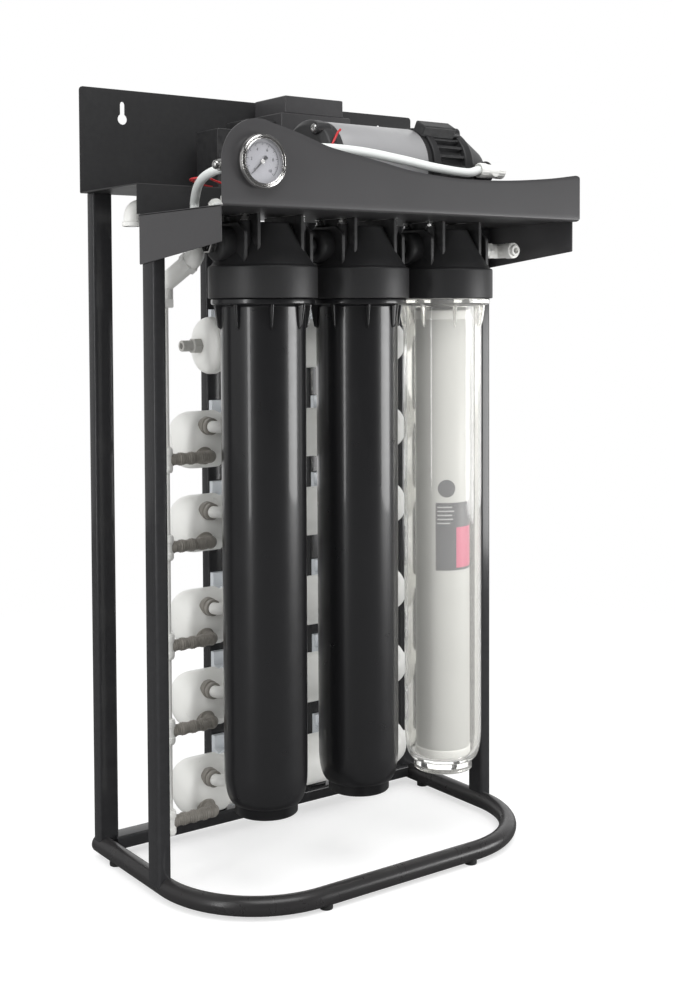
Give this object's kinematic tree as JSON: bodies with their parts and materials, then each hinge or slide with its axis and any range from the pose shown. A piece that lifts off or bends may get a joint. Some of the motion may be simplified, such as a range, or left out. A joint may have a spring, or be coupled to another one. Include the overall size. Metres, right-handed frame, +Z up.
{
  "type": "reverse osmosis water purifier",
  "caption": "Floor-standing water purifier: tall filter housings under a sheet-metal tray, membrane vessels behind, booster pump on top and a pressure gauge in the front panel.",
  "frame": {"origin": "on the floor under the middle of the part's bounding box", "axes": "+Z up, +Y to the back panel, +X to the right seen from the front"},
  "size_m": [0.469, 0.3056, 0.855],
  "materials": {
    "steel_coat": "textured powder coat, charcoal black",
    "black_plastic": "black moulded plastic",
    "white_plastic": "white moulded plastic",
    "grey_plastic": "grey moulded plastic",
    "steel": "bright plated steel",
    "rubber": "black rubber",
    "clear": "clear moulded plastic",
    "lens": "clear pane",
    "cartridge": "white wound filter medium",
    "membrane": "white wrapped membrane",
    "dial": "grey printed dial",
    "needle": "black pointer",
    "pump_case": "silver grey label over steel",
    "rotor": "bare steel and copper",
    "tube": "white tubing"
  },
  "bodies": {
    "stand": {"back_panel": "steel_coat", "base_ring": "steel_coat", "controller_box": "black_plastic", "feed_bulkhead": "white_plastic", "gauge_bezel": "steel", "gauge_case": "steel", "gauge_dial": "dial", "gauge_lens": "lens", "head_left": "black_plastic", "head_middle": "black_plastic", "head_right": "black_plastic", "inlet_bushing": "steel", "inline_filter": "white_plastic", "manifold": "white_plastic", "membrane_element_1": "membrane", "membrane_element_2": "membrane", "membrane_element_3": "membrane", "membrane_element_4": "membrane", "membrane_element_5": "membrane", "outlet_elbow": "white_plastic", "post_front_left": "steel_coat", "post_front_right": "steel_coat", "post_rear_left": "steel_coat", "post_rear_right": "steel_coat", "power_box": "black_plastic", "power_lid": "black_plastic", "pressure_tube": "tube", "pump_end_cap": "black_plastic", "pump_head": "black_plastic", "pump_motor": "pump_case", "rear_crossbar": "steel_coat", "suction_tube": "tube", "tray": "steel_coat", "upright_left": "steel_coat", "upright_right": "steel_coat", "valve_body": "white_plastic", "valve_coil": "black_plastic", "vessel_1": "white_plastic", "vessel_2": "white_plastic", "vessel_3": "white_plastic", "vessel_4": "white_plastic", "vessel_5": "white_plastic", "vessel_cap_1": "white_plastic", "vessel_cap_2": "white_plastic", "vessel_cap_3": "white_plastic", "vessel_cap_4": "white_plastic", "vessel_cap_5": "white_plastic"},
    "thread_left": {"seal_left": "rubber"},
    "bowl_left": {"bowl_left": "black_plastic", "cartridge_left": "cartridge"},
    "thread_middle": {"seal_middle": "rubber"},
    "bowl_middle": {"bowl_middle": "black_plastic", "cartridge_middle": "cartridge"},
    "thread_right": {"seal_right": "rubber"},
    "bowl_right": {"bowl_right": "clear", "cartridge_right": "cartridge"},
    "needle": {"gauge_needle": "needle"},
    "rotor": {"pump_rotor": "rotor"},
    "plunger": {"valve_plunger": "steel"},
    "collet": {"outlet_collet": "grey_plastic"}
  },
  "joints": [
    {"name": "bowl_drop_left", "type": "slide", "parent": "stand", "child": "thread_left", "axis": [0, 0, 1], "range_m": [-0.026, 0]},
    {"name": "bowl_turn_left", "type": "hinge", "parent": "thread_left", "child": "bowl_left", "pos_m": [-0.126, -0.04725, 0.088], "axis": [0, 0, 1], "range_deg": [-1170, 0]},
    {"name": "bowl_drop_middle", "type": "slide", "parent": "stand", "child": "thread_middle", "axis": [0, 0, 1], "range_m": [-0.026, 0]},
    {"name": "bowl_turn_middle", "type": "hinge", "parent": "thread_middle", "child": "bowl_middle", "pos_m": [-0.005, -0.04725, 0.088], "axis": [0, 0, 1], "range_deg": [-1170, 0]},
    {"name": "bowl_drop_right", "type": "slide", "parent": "stand", "child": "thread_right", "axis": [0, 0, 1], "range_m": [-0.026, 0]},
    {"name": "bowl_turn_right", "type": "hinge", "parent": "thread_right", "child": "bowl_right", "pos_m": [0.116, -0.04725, 0.088], "axis": [0, 0, 1], "range_deg": [-1170, 0]},
    {"name": "gauge_reading", "type": "hinge", "parent": "stand", "child": "needle", "pos_m": [-0.192, -0.14475, 0.7485], "axis": [0, 1, 0], "range_deg": [0, 270], "stiffness_Nm_per_rad": 0.0002},
    {"name": "pump_spin", "type": "hinge", "parent": "stand", "child": "rotor", "pos_m": [-0.062, -0.05225, 0.764], "axis": [1, 0, 0], "continuous": true},
    {"name": "valve_lift", "type": "slide", "parent": "stand", "child": "plunger", "axis": [0, 0, 1], "range_m": [0, 0.003], "stiffness_N_per_m": 300, "springref_m": -0.002},
    {"name": "collet_press", "type": "slide", "parent": "stand", "child": "collet", "axis": [0, 1, 0], "range_m": [0, 0.0015], "stiffness_N_per_m": 800, "springref_m": -0.001}
  ],
  "couplings": [
    {"joint": "bowl_drop_left", "follows": "bowl_turn_left", "m_per_rad": 0.0012732},
    {"joint": "bowl_drop_middle", "follows": "bowl_turn_middle", "m_per_rad": 0.0012732},
    {"joint": "bowl_drop_right", "follows": "bowl_turn_right", "m_per_rad": 0.0012732}
  ]
}
